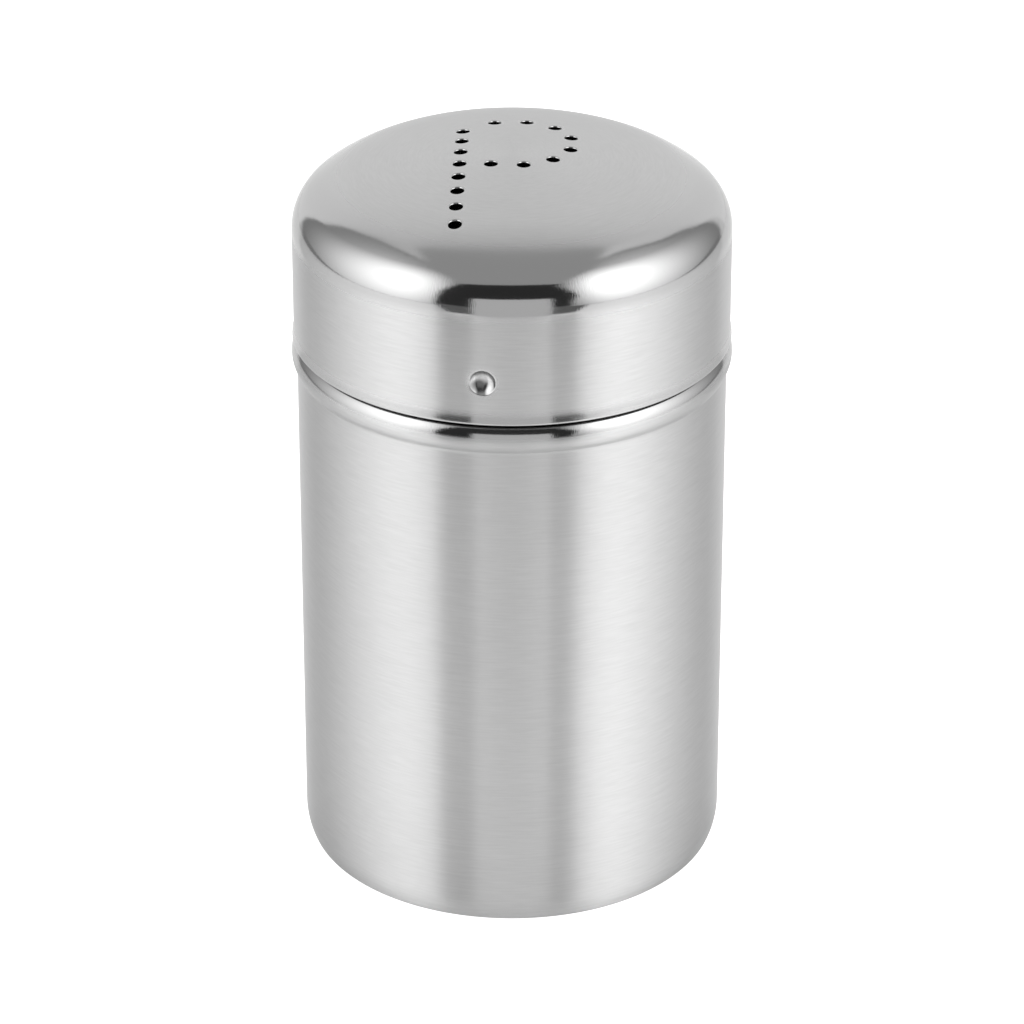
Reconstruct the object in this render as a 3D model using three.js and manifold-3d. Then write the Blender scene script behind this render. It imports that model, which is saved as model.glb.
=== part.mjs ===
// A pepper shaker in stainless steel sheet: a deep-drawn can, and a domed lid held on it by a bayonet.
// Millimetres, +Z up. The origin is the middle of the can's underside and the front faces -Y.
import * as THREE from "three";
import { mergeVertices } from "three/addons/utils/BufferGeometryUtils.js";
import Module from "manifold-3d";

const radians = THREE.MathUtils.degToRad;

// Sheet and can
const SHEET = 0.5; // both pieces are drawn from the same sheet
const CAN_RADIUS = 25; // outside of the straight wall
const BEAD_HEIGHT = 63.7; // middle of the rolled bead, above the table
const BEAD_STAND = 0.62; // how far the bead stands out from the wall
const BEAD_INNER_RADIUS = 2.1; // of the bead's own section, on the inside of the sheet
const FOOT_INNER_RADIUS = 0.35; // tight bend at the edge of the base
const FLANK_RADIUS = 7.3; // easy bend between the tight one and the wall
const FLANK_SWEEP = radians(22.2); // how far the easy bend turns in from upright
const NECK_INSET = 0.4; // the neck's outside lies this far in from the can's wall
const NECK_HEADROOM = 1; // from the neck's edge up to the start of the lid's shoulder

// Lid
const LID_SLIP = 0.3; // running gap between the neck and the skirt
const SEAT_GAP = 0.2; // between the lid's edge and the bead that it sits on
const SKIRT_HEIGHT = 13.4; // from the lid's edge up to its shoulder
const FLARE_RADIUS = 10.5; // the skirt turns out a little towards its edge
const FLARE_SWEEP = radians(9);
const SHOULDER_RADIUS = 5.27; // bend that leads out of the skirt
const SHOULDER_SWEEP = radians(53.5);
const BROW_RADIUS = 17.5; // easy bend between the shoulder and the dome
const DOME_EDGE_TILT = radians(10.1); // slope of the dome where it meets the easy bend

// Bayonet: two dimples in the skirt run in two grooves in the neck
const DIMPLE_COUNT = 2;
const DIMPLE_BEARING = radians(-97.5); // the front dimple lies a little to the left of the front
const DIMPLE_HEIGHT = 5.2; // above the lid's edge
const DIMPLE_WIDTH = 3.1; // across its mouth, on the outside
const DIMPLE_DEPTH = 0.9;
const GROOVE_PLAY = 0.35; // between a dimple and the groove's walls and floor
const LOCK_TURN = radians(30); // length of the level run, clockwise from above

// Pour holes: a straight stem and a round bowl of punched holes, which make the letter P for pepper
const HOLE_RADIUS = 0.75;
const STEM_HOLES = 6;
const STEM_PITCH = 3.33;
const STEM_FOOT_HOLES = 2; // the last two stand a little further apart
const STEM_FOOT_PITCH = 3.5;
const STEM_LEFT = 5.9; // from the middle of the dome
const STEM_BACK = 7.5; // hindmost hole of the stem
const BOWL_HOLES = 8;
const BOWL_RADIUS = 7;
const BOWL_LEFT = 0.1;
const BOWL_BACK = 3.9;
const BOWL_STEP = radians(31);
const PATTERN_TURN = radians(-1.7); // the punched pattern sits slightly turned on the lid

// How finely round shapes are faceted
const ROUND_FACETS = 60;
const HOLE_FACETS = 12;
const DIMPLE_FACETS = 16;
const EDGE_STEPS = 2;
const FOOT_STEPS = 3;
const FLANK_STEPS = 3;
const BEAD_STEPS = 7;
const FLARE_STEPS = 2;
const SHOULDER_STEPS = 6;
const BROW_STEPS = 3;
const DOME_STEPS = 3;
const GROOVE_STEPS = 3;

const OVERRUN = 1; // how far a cutter reaches past what it cuts

// Sizes that follow
const halfSheet = SHEET / 2;
const beadRadius = BEAD_INNER_RADIUS + SHEET;
const beadCentre = new THREE.Vector2(CAN_RADIUS + BEAD_STAND - beadRadius, BEAD_HEIGHT);
const footRadius = FOOT_INNER_RADIUS + SHEET;
const flankCentre = new THREE.Vector2(
  CAN_RADIUS - FLANK_RADIUS,
  footRadius + (FLANK_RADIUS - footRadius) * Math.sin(FLANK_SWEEP),
);
const footCentre = new THREE.Vector2(
  flankCentre.x + (FLANK_RADIUS - footRadius) * Math.cos(FLANK_SWEEP),
  footRadius,
);
const neckRadius = CAN_RADIUS - NECK_INSET;
const lidRadius = neckRadius + LID_SLIP + SHEET;

// The lid's rounded edge rests in line with the round bead, with the seat's gap between the two arcs.
const flareCentre = new THREE.Vector2(
  lidRadius + FLARE_RADIUS,
  halfSheet + (FLARE_RADIUS + halfSheet) * Math.sin(FLARE_SWEEP),
);
const lidEdge = new THREE.Vector2(
  flareCentre.x - (FLARE_RADIUS + halfSheet) * Math.cos(FLARE_SWEEP),
  halfSheet,
);
const lidEdgeReach = beadRadius + SEAT_GAP + halfSheet;
const lidEdgeOut = lidEdge.x - beadCentre.x;
const lidHeight = BEAD_HEIGHT + Math.sqrt(lidEdgeReach ** 2 - lidEdgeOut ** 2) - halfSheet;
const neckHeight = lidHeight + SKIRT_HEIGHT - NECK_HEADROOM;

// A round dimple is a ball's cap, and its bulge inside the skirt is one sheet larger all round.
const dimpleRadius = ((DIMPLE_WIDTH / 2) ** 2 + DIMPLE_DEPTH ** 2) / (2 * DIMPLE_DEPTH);
const dimpleCentreOut = lidRadius + dimpleRadius - DIMPLE_DEPTH;
const bulgeRadius = dimpleRadius + SHEET;
const bulgeHalfWidth = Math.sqrt(bulgeRadius ** 2 - (dimpleCentreOut - lidRadius + SHEET) ** 2);
const grooveHalfWidth = bulgeHalfWidth + GROOVE_PLAY;
const grooveFloor = lidRadius - SHEET - DIMPLE_DEPTH - GROOVE_PLAY;
const grooveHeight = lidHeight + DIMPLE_HEIGHT;

const wasm = await Module();
wasm.setup();

// Points of an arc in the (radius, height) plane, both ends included.
function arc(centre, radius, from, to, steps) {
  return Array.from({ length: steps + 1 }, (_, i) => {
    const angle = from + ((to - from) * i) / steps;
    return new THREE.Vector2(
      centre.x + radius * Math.cos(angle),
      centre.y + radius * Math.sin(angle),
    );
  });
}

// The can's surface at a depth into its sheet, from the middle of the base up to the neck's edge.
function canSkin(depth) {
  const bead = beadRadius - depth;
  const beadFoot = -Math.acos((CAN_RADIUS - depth - beadCentre.x) / bead);
  const beadTop = Math.acos((neckRadius - depth - beadCentre.x) / bead);
  return [
    new THREE.Vector2(0, depth),
    ...arc(footCentre, footRadius - depth, -Math.PI / 2, -FLANK_SWEEP, FOOT_STEPS),
    ...arc(flankCentre, FLANK_RADIUS - depth, -FLANK_SWEEP, 0, FLANK_STEPS).slice(1),
    ...arc(beadCentre, bead, beadFoot, beadTop, BEAD_STEPS),
    new THREE.Vector2(neckRadius - depth, neckHeight - halfSheet),
  ];
}

// The lid's surface at a depth into its sheet, from its edge up to the middle of the dome.
function lidSkin(depth) {
  const shoulderCentre = new THREE.Vector2(lidRadius - SHOULDER_RADIUS, SKIRT_HEIGHT);
  const centreStep = BROW_RADIUS - SHOULDER_RADIUS;
  const browCentre = new THREE.Vector2(
    shoulderCentre.x - centreStep * Math.cos(SHOULDER_SWEEP),
    shoulderCentre.y - centreStep * Math.sin(SHOULDER_SWEEP),
  );
  const domeEdge = Math.PI / 2 - DOME_EDGE_TILT;
  const domeRadius = BROW_RADIUS + browCentre.x / Math.cos(domeEdge);
  const domeCentre = new THREE.Vector2(
    0,
    browCentre.y - (domeRadius - BROW_RADIUS) * Math.sin(domeEdge),
  );
  const flareEnd = Math.PI + FLARE_SWEEP;
  return [
    ...arc(flareCentre, FLARE_RADIUS + depth, flareEnd, Math.PI, FLARE_STEPS),
    ...arc(shoulderCentre, SHOULDER_RADIUS - depth, 0, SHOULDER_SWEEP, SHOULDER_STEPS),
    ...arc(browCentre, BROW_RADIUS - depth, SHOULDER_SWEEP, domeEdge, BROW_STEPS).slice(1),
    ...arc(domeCentre, domeRadius - depth, domeEdge, Math.PI / 2, DOME_STEPS).slice(1, -1),
    new THREE.Vector2(0, domeCentre.y + domeRadius - depth),
  ];
}

// The half round of a sheet's edge, without its end points.
function sheetEdge(centre, from) {
  return arc(centre, halfSheet, from, from + Math.PI, EDGE_STEPS).slice(1, -1);
}

// A three.js geometry as a solid that can be joined and cut.
function solidOf(geometry) {
  geometry.deleteAttribute("normal");
  geometry.deleteAttribute("uv");
  const merged = mergeVertices(geometry);
  return new wasm.Manifold(
    new wasm.Mesh({
      numProp: 3,
      vertProperties: merged.getAttribute("position").array,
      triVerts: new Uint32Array(merged.index.array),
    }),
  );
}

function turned(profile) {
  return solidOf(new THREE.LatheGeometry(profile, ROUND_FACETS).rotateX(Math.PI / 2));
}

function upright(radius, height, facets) {
  return new THREE.CylinderGeometry(radius, radius, height, facets).rotateX(Math.PI / 2);
}

// A block bent round the axis, between two radii, two bearings and two heights.
function bentBlock(inner, outer, from, to, bottom, top) {
  const plan = new THREE.Shape();
  plan.absarc(0, 0, outer, from, to, false);
  plan.absarc(0, 0, inner, to, from, true);
  const depth = top - bottom;
  const options = { depth, bevelEnabled: false, curveSegments: GROOVE_STEPS };
  return solidOf(new THREE.ExtrudeGeometry(plan, options).translate(0, 0, bottom));
}

// The L that a dimple travels, between two radii: down the entry, then clockwise along the level run.
function bayonetPath(bearing, inner, outer, halfWidth, top) {
  const halfAngle = halfWidth / neckRadius;
  const bottom = grooveHeight - halfWidth;
  const entry = bentBlock(inner, outer, bearing - halfAngle, bearing + halfAngle, bottom, top);
  const runEnd = bearing - LOCK_TURN - halfAngle;
  const runTop = grooveHeight + halfWidth;
  return entry.add(bentBlock(inner, outer, runEnd, bearing, bottom, runTop));
}

function dimpleBearings() {
  return Array.from(
    { length: DIMPLE_COUNT },
    (_, i) => DIMPLE_BEARING + (i * 2 * Math.PI) / DIMPLE_COUNT,
  );
}

function ball(radius, bearing) {
  return solidOf(
    new THREE.SphereGeometry(radius, DIMPLE_FACETS, DIMPLE_FACETS)
      .rotateX(Math.PI / 2)
      .translate(dimpleCentreOut, 0, DIMPLE_HEIGHT)
      .rotateZ(bearing),
  );
}

function meshOf(name, solid, material) {
  const { vertProperties, triVerts } = solid.getMesh();
  const geometry = new THREE.BufferGeometry()
    .setAttribute("position", new THREE.BufferAttribute(vertProperties, 3))
    .setIndex(new THREE.BufferAttribute(triVerts, 1));
  geometry.computeVertexNormals();
  const mesh = new THREE.Mesh(geometry, material);
  mesh.name = name;
  return mesh;
}

// The can: one drawn cup with its bead, its neck and the two grooves pressed into the neck.
function makeCan() {
  const neckEdge = new THREE.Vector2(neckRadius - halfSheet, neckHeight - halfSheet);
  let can = turned([...canSkin(0), ...sheetEdge(neckEdge, 0), ...canSkin(SHEET).reverse()]);
  for (const bearing of dimpleBearings()) {
    const backing = bayonetPath(
      bearing,
      grooveFloor - SHEET,
      neckRadius - halfSheet,
      grooveHalfWidth + SHEET,
      neckHeight - halfSheet,
    );
    const groove = bayonetPath(
      bearing,
      grooveFloor,
      neckRadius + OVERRUN,
      grooveHalfWidth,
      neckHeight + OVERRUN,
    );
    can = can.add(backing).subtract(groove);
  }
  const steel = new THREE.MeshStandardMaterial({ color: 0xc9c9c7, roughness: 0.38, metalness: 1 });
  return meshOf("can", can, steel);
}

// Where the pour holes are punched, seen from above.
function pourHolePlaces() {
  const stem = Array.from({ length: STEM_HOLES + STEM_FOOT_HOLES }, (_, i) => {
    const footGaps = Math.max(0, i - STEM_HOLES + 1);
    const gaps = (i - footGaps) * STEM_PITCH + footGaps * STEM_FOOT_PITCH;
    return new THREE.Vector2(-STEM_LEFT, STEM_BACK - gaps);
  });
  const bowl = Array.from({ length: BOWL_HOLES }, (_, i) => {
    const angle = ((BOWL_HOLES - 1) / 2 - i) * BOWL_STEP;
    return new THREE.Vector2(
      BOWL_RADIUS * Math.cos(angle) - BOWL_LEFT,
      BOWL_RADIUS * Math.sin(angle) + BOWL_BACK,
    );
  });
  const middle = new THREE.Vector2();
  return [...stem, ...bowl].map((place) => place.rotateAround(middle, PATTERN_TURN));
}

// The lid: one drawn cap, made with its edge at height zero and lowered onto the bead.
function makeLid() {
  const outside = lidSkin(0);
  let lid = turned([
    ...lidSkin(SHEET).reverse(),
    ...sheetEdge(lidEdge, Math.PI + FLARE_SWEEP),
    ...outside,
  ]);
  const domeHeight = outside.at(-1).y;
  const core = solidOf(
    upright(lidRadius - halfSheet, domeHeight, ROUND_FACETS).translate(0, 0, domeHeight / 2),
  );
  for (const bearing of dimpleBearings()) {
    const bulge = ball(bulgeRadius, bearing).intersect(core);
    lid = lid.add(bulge).subtract(ball(dimpleRadius, bearing));
  }
  const punchLength = domeHeight - SKIRT_HEIGHT;
  for (const place of pourHolePlaces()) {
    const punch = upright(HOLE_RADIUS, punchLength + OVERRUN, HOLE_FACETS);
    const middle = SKIRT_HEIGHT + (punchLength + OVERRUN) / 2;
    lid = lid.subtract(solidOf(punch.translate(place.x, place.y, middle)));
  }
  const steel = new THREE.MeshStandardMaterial({ color: 0xcdcdcb, roughness: 0.3, metalness: 1 });
  const mesh = meshOf("lid", lid, steel);
  mesh.position.z = lidHeight;
  return mesh;
}

const shaker = new THREE.Group();
shaker.name = "shaker";
shaker.add(makeCan(), makeLid());

export default shaker;
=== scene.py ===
"""A pepper shaker in stainless steel sheet: a deep-drawn can and a domed bayonet lid with pour holes.

The classes hold their sizes in millimetres and the meshes are in metres. +Z is up, and the front
faces -Y. Each piece is one sheet, made as a closed shell: its outside, its edges and its inside.
"""

import logging
from collections.abc import Callable
from dataclasses import dataclass
from enum import Enum
from functools import partial

import bmesh
import bpy
import numpy as np
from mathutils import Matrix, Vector
from mathutils.geometry import delaunay_2d_cdt

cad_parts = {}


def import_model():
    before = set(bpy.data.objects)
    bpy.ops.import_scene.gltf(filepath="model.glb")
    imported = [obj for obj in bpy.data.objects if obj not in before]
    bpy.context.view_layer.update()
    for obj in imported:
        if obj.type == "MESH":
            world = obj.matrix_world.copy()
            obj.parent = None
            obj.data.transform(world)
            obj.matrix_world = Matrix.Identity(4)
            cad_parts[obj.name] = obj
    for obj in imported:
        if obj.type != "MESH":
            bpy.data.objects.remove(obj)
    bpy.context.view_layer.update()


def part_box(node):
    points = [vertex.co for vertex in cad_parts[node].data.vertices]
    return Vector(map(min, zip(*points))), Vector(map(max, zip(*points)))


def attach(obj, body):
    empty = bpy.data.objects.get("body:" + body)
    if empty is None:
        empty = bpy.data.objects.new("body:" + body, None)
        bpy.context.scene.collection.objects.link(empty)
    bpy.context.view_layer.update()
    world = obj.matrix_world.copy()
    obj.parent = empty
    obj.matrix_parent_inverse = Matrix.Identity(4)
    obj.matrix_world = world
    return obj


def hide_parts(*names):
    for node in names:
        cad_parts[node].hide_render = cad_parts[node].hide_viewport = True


MM = 0.001
WELD_DISTANCE = 1e-6
FLAT_TOLERANCE = 1e-7
PHOTO_WIDTH = 1024
QUARTER_TURN = np.pi / 2.0
HALF_TURN = np.pi
FULL_TURN = 2.0 * np.pi
WHITE = "#FFFFFF"
NOISE_DETAIL = 3.0
ANY_SPREAD = 1000.0  # of a bell, along an axis on which every place is at 0

Pair = tuple[float, float]
Place = tuple[float, float, float]
Output = bpy.types.NodeSocket
Adder = Callable[..., Output]
Light = float | Callable[[Adder], Output]

log = logging.getLogger("shaker")


class Skin(Enum):
    """The two skins of a sheet."""

    OUTSIDE = 0
    INSIDE = 1


# Curves and grids


def arc(centre: Pair, radius: float, start: float, end: float, steps: int) -> np.ndarray:
    """Points of an arc in the (distance from the axis, height) plane: centre + radius (cos a, sin a).

    Args:
        centre: middle of the arc, in millimetres.
        radius: its radius, in millimetres.
        start: first angle, in radians up from the outward direction.
        end: last angle.
        steps: number of chords.

    Returns:
        An array of steps + 1 rows of (distance, height).
    """
    angles = np.linspace(start, end, steps + 1)
    return np.asarray(centre) + radius * np.column_stack([np.cos(angles), np.sin(angles)])


def circle(radius: float, sides: int, start: float = 0.0) -> np.ndarray:
    """Points of a flat circle round the origin, evenly spaced from a first angle."""
    return arc((0.0, 0.0), radius, start, start + FULL_TURN, sides)[:-1]


def rings_of(section: np.ndarray, sides: int) -> tuple[np.ndarray, np.ndarray]:
    """A section's rows of (distance, depth) as flat rings of points, and the depth of each point."""
    rings = np.concatenate([circle(distance, sides) for distance in section[:, 0]])
    return rings, np.repeat(section[:, 1], sides)


def direction(angle: float) -> np.ndarray:
    """The unit vector at an angle: (cos a, sin a)."""
    return np.array([np.cos(angle), np.sin(angle)])


def upright(distance: float, heights: np.ndarray) -> np.ndarray:
    """The profile of an upright wall, as rows of (distance from the axis, height)."""
    return np.column_stack([np.full(len(heights), distance), heights])


def smooth(values: np.ndarray, low: float, high: float) -> np.ndarray:
    """An S-curve from 0 at low to 1 at high: 3 t^2 - 2 t^3 of the clamped share t between them."""
    share = np.clip((values - low) / (high - low), 0.0, 1.0)
    return share * share * (3.0 - 2.0 * share)


def fade(values: np.ndarray, low: float, high: float) -> np.ndarray:
    """An S-curve from 1 at low to 0 at high."""
    return 1.0 - smooth(values, low, high)


def band(values: np.ndarray, rise: Pair, fall: Pair) -> np.ndarray:
    """A band of 1 that an S-curve leads up to and another one leads down from."""
    return smooth(values, *rise) * fade(values, *fall)


def dip(distances: np.ndarray | float, reach: float, depth: float) -> np.ndarray:
    """How far the sheet is drawn in round a punch: half a cosine wave, from its depth to 0 at its reach."""
    share = np.clip(distances / reach, 0.0, 1.0)
    return depth * (1.0 + np.cos(np.pi * share)) / 2.0


def nearest(points: np.ndarray, middles: np.ndarray) -> np.ndarray:
    """The distance from each point to the nearest of the middles."""
    return np.linalg.norm(points[:, None, :] - middles[None, :, :], axis=2).min(axis=1)


def revolve(profile: np.ndarray, bearings: np.ndarray, pressed: np.ndarray | float = 0.0) -> np.ndarray:
    """A turned surface: profile point (r, z) at bearing t is at ((r - d) cos t, (r - d) sin t, z).

    Args:
        profile: rows of (distance from the axis, height).
        bearings: angles of the columns.
        pressed: the depth d that each place is pressed in, by row and column.

    Returns:
        Rows of (x, y, z), ring after ring.
    """
    turns, reach = np.meshgrid(bearings, profile[:, 0])
    heights = np.broadcast_to(profile[:, 1:], turns.shape)
    out = reach - pressed
    return np.stack([out * np.cos(turns), out * np.sin(turns), heights], axis=-1).reshape(-1, 3)


def ring_quads(rows: int, columns: int) -> np.ndarray:
    """Quads of a grid of rows by columns points, stored row after row.

    Args:
        rows: number of rows, each one a ring round an axis.
        columns: number of points in a ring.

    Returns:
        An array of quads, whose normals point out where rows climb and columns turn anticlockwise.
    """
    lines = np.arange(rows - 1)[:, None] * columns
    across = np.arange(columns)[None, :]
    beside = (across + 1) % columns
    corners = [lines + across, lines + beside, lines + columns + beside, lines + columns + across]
    return np.stack(corners, axis=-1).reshape(-1, 4)


def fan(ring: np.ndarray, pole: int) -> np.ndarray:
    """Triangles between a ring of point numbers and the number of a pole inside it."""
    return np.column_stack([ring, np.roll(ring, -1), np.full(len(ring), pole)])


def triangles_between(
    boundary: np.ndarray, centres: np.ndarray, gap: float, sides: int, inner: np.ndarray
) -> tuple[np.ndarray, np.ndarray]:
    """Triangles that fill a convex flat outline, but for a round gap about each centre.

    Args:
        boundary: the outline's corners in order, as (x, y) rows.
        centres: middles of the gaps.
        gap: the gaps' radius.
        sides: number of points round a gap.
        inner: more points to use between them.

    Returns:
        The flat points, and the triangles as anticlockwise rows of point numbers.
    """
    loops = [boundary] + [centre + circle(gap, sides) for centre in centres]
    starts = np.cumsum([0] + [len(loop) for loop in loops])
    numbers = [start + np.arange(len(loop)) for start, loop in zip(starts, loops)]
    edges = np.vstack([np.column_stack([loop, np.roll(loop, -1)]) for loop in numbers])
    points = np.vstack(loops + [inner])
    found = delaunay_2d_cdt(points.tolist(), edges.tolist(), [], 0, FLAT_TOLERANCE)
    flat = np.array([tuple(point) for point in found[0]])
    faces = np.array(found[2])
    corners = flat[faces]
    first, second = corners[:, 1] - corners[:, 0], corners[:, 2] - corners[:, 0]
    backwards = first[:, 0] * second[:, 1] < first[:, 1] * second[:, 0]
    faces[backwards] = faces[backwards][:, ::-1]
    outside_gaps = nearest(corners.mean(axis=1), centres) > gap * np.cos(np.pi / sides)
    return flat, faces[outside_gaps]


# Meshes


def link(name: str, data: bpy.types.ID) -> bpy.types.Object:
    """Makes an object and links it to the scene.

    Args:
        name: the object's name.
        data: its mesh or its camera.

    Returns:
        The new object.
    """
    thing = bpy.data.objects.new(name, data)
    bpy.context.scene.collection.objects.link(thing)
    return thing


class SheetMesh:
    """Gathers the grids and patches of one sheet in millimetres, and welds them into one closed mesh."""

    def __init__(self) -> None:
        """Starts with no points and no faces."""
        self.points: list[np.ndarray] = []
        self.faces: list[np.ndarray] = []
        self.count = 0

    def add(self, points: np.ndarray, faces: list[np.ndarray], skin: Skin = Skin.OUTSIDE) -> None:
        """Adds points and the faces on them, turned over on the inside skin.

        Args:
            points: places as rows of three.
            faces: arrays of triangles or quads, numbered from the first of these points.
            skin: the side of the sheet that they lie on.
        """
        self.points.append(points)
        for part in faces:
            turned = part[:, ::-1] if skin is Skin.INSIDE else part
            self.faces.append(turned + self.count)
        self.count += len(points)

    def weld(self, name: str) -> bpy.types.Object:
        """Makes the object, with points that coincide merged, and smooth shading.

        Args:
            name: the object's name.

        Returns:
            The new object, linked to the scene.
        """
        points = np.vstack(self.points) * MM
        sides = np.concatenate([np.full(len(part), part.shape[1]) for part in self.faces])
        corners = np.concatenate([part.ravel() for part in self.faces])
        mesh = bpy.data.meshes.new(name)
        mesh.vertices.add(len(points))
        mesh.vertices.foreach_set("co", points.astype(np.float32).ravel())
        mesh.loops.add(len(corners))
        mesh.loops.foreach_set("vertex_index", corners.astype(np.int32))
        mesh.polygons.add(len(sides))
        mesh.polygons.foreach_set("loop_start", (np.cumsum(sides) - sides).astype(np.int32))
        mesh.update(calc_edges=True)
        work = bmesh.new()
        work.from_mesh(mesh)
        bmesh.ops.remove_doubles(work, verts=work.verts, dist=WELD_DISTANCE)
        work.to_mesh(mesh)
        work.free()
        mesh.shade_smooth()
        return link(name, mesh)


def vectors(items: bpy.types.bpy_prop_collection, name: str) -> np.ndarray:
    """One kind of vector of a mesh's points or faces.

    Args:
        items: the mesh's points or faces.
        name: which of their vectors.

    Returns:
        Rows of three.
    """
    values = np.empty(len(items) * 3, np.float32)
    items.foreach_get(name, values)
    return values.reshape(-1, 3)


def places_of(mesh: bpy.types.Mesh) -> np.ndarray:
    """The mesh's points in millimetres, as rows of three."""
    return vectors(mesh.vertices, "co").astype(float) / MM


def paint(piece: bpy.types.Object, name: str, values: np.ndarray) -> None:
    """Stores a number from 0 to 1 for each point of the piece, for its material to read."""
    layer = piece.data.attributes.new(name, "FLOAT", "POINT")
    layer.data.foreach_set("value", np.clip(values, 0.0, 1.0).astype(np.float32))


# Materials


def linear(colour: str) -> tuple[float, float, float, float]:
    """A colour as linear light.

    Args:
        colour: the colour as sRGB hex.

    Returns:
        Red, green and blue light, and full opacity.
    """
    parts = [int(colour[i : i + 2], 16) / 255.0 for i in (1, 3, 5)]
    light = [c / 12.92 if c <= 0.04045 else ((c + 0.055) / 1.055) ** 2.4 for c in parts]
    return (*light, 1.0)


def add_node(
    tree: bpy.types.NodeTree, kind: str, inputs: dict, output: int | str = 0, **settings: object
) -> Output | bpy.types.Node:
    """Adds a shader node with its settings, and feeds its inputs.

    Args:
        tree: the material's or the world's node tree.
        kind: the node's type, without its start "ShaderNode".
        inputs: a value or another node's output for each input, by name or number.
        output: the output that is wanted.
        **settings: the node's own options.

    Returns:
        The wanted output, or the node itself where it has none.
    """
    node = tree.nodes.new("ShaderNode" + kind)
    for name, value in settings.items():
        setattr(node, name, value)
    for name, value in inputs.items():
        if isinstance(value, Output):
            tree.links.new(value, node.inputs[name])
        else:
            node.inputs[name].default_value = value
    return node.outputs[output] if node.outputs else node


def start_nodes(owner: bpy.types.Material | bpy.types.World) -> Adder:
    """Empties the node tree of a material or a world.

    Args:
        owner: the material or the world.

    Returns:
        A function that adds a node to it, as add_node does.
    """
    owner.use_nodes = True
    owner.node_tree.nodes.clear()
    return partial(add_node, owner.node_tree)


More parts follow.
